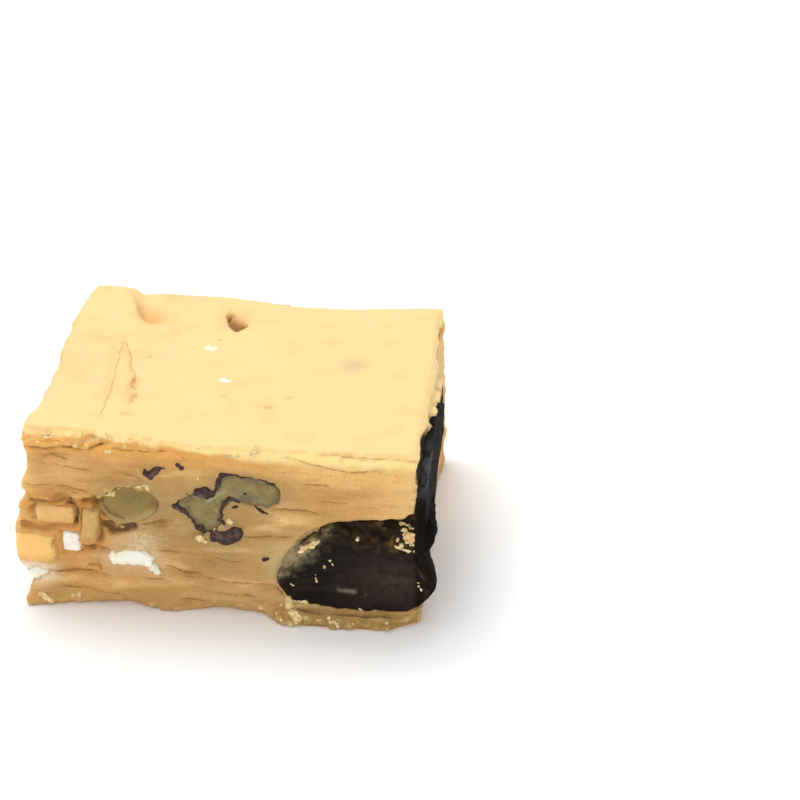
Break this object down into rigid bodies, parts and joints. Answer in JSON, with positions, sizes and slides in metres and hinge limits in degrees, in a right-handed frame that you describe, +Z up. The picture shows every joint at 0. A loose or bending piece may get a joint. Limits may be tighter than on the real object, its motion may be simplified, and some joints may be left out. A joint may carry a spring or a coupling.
{
  "type": "square of fudge",
  "caption": "Hand-cut square of caramel-coloured fudge with a smooth poured top, walnuts, marshmallow, caramel bits and a dark chocolate chunk in its cut faces.",
  "frame": {"origin": "middle of the flat base, below the middle of the whole square", "axes": "+X to the right along the long front face, +Z up, and the front face with the chunk looks along -Y"},
  "size_m": [0.0545, 0.0446, 0.027],
  "materials": {
    "fudge": "waxy caramel-coloured fudge, smooth on top and torn on the cut faces",
    "chocolate": "dark chocolate, dull where the knife cut it",
    "walnut": "cut walnut kernel, greyish green and matt",
    "walnut_skin": "dark brown kernel skin with a slight sheen",
    "marshmallow": "soft off-white marshmallow, matt",
    "caramel_bit": "blond caramel bit, slightly translucent"
  },
  "bodies": {
    "root": {"fudge": "fudge", "chocolate_chunk": "chocolate", "chocolate_left": "chocolate", "chocolate_back": "chocolate", "walnut": "walnut", "walnut_round": "walnut", "walnut_left": "walnut", "walnut_back": "walnut", "walnut_skin": "walnut_skin", "marshmallow": "marshmallow", "marshmallow_corner": "marshmallow", "marshmallow_cube": "marshmallow", "marshmallow_back": "marshmallow", "caramel_bit_a": "caramel_bit", "caramel_bit_b": "caramel_bit", "caramel_bit_c": "caramel_bit"}
  },
  "joints": []
}
